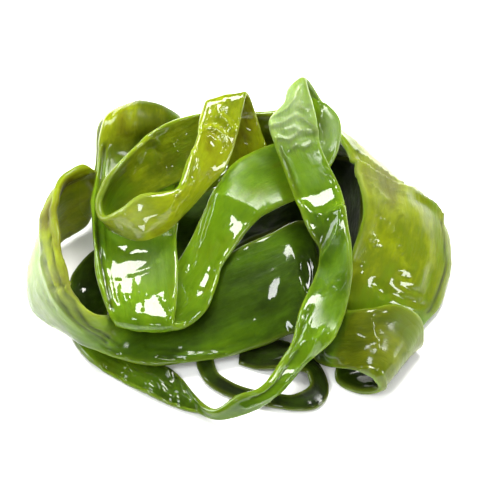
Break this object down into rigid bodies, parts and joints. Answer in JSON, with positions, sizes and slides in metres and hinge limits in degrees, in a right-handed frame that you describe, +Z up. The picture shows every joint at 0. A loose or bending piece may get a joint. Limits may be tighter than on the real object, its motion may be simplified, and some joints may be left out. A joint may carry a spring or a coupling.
{
  "type": "wakame stem",
  "caption": "Long flat strap of cooked wakame stem, cut at both ends, folded and looped into a loose glossy heap that lies flat on its underside.",
  "frame": {"origin": "centre of the heap's bounding box, on the surface it lies on", "axes": "+Z up, +X along the heap's long side, to the right as seen from its front, -Y towards the front, where the long strap comes down and the thin tip curls"},
  "size_m": [0.1688, 0.1344, 0.0682],
  "materials": {
    "wet_wakame_skin": "wet, glossy, slightly see-through at thin rims"
  },
  "bodies": {
    "root": {"wakame_stem": "wet_wakame_skin"}
  },
  "joints": []
}
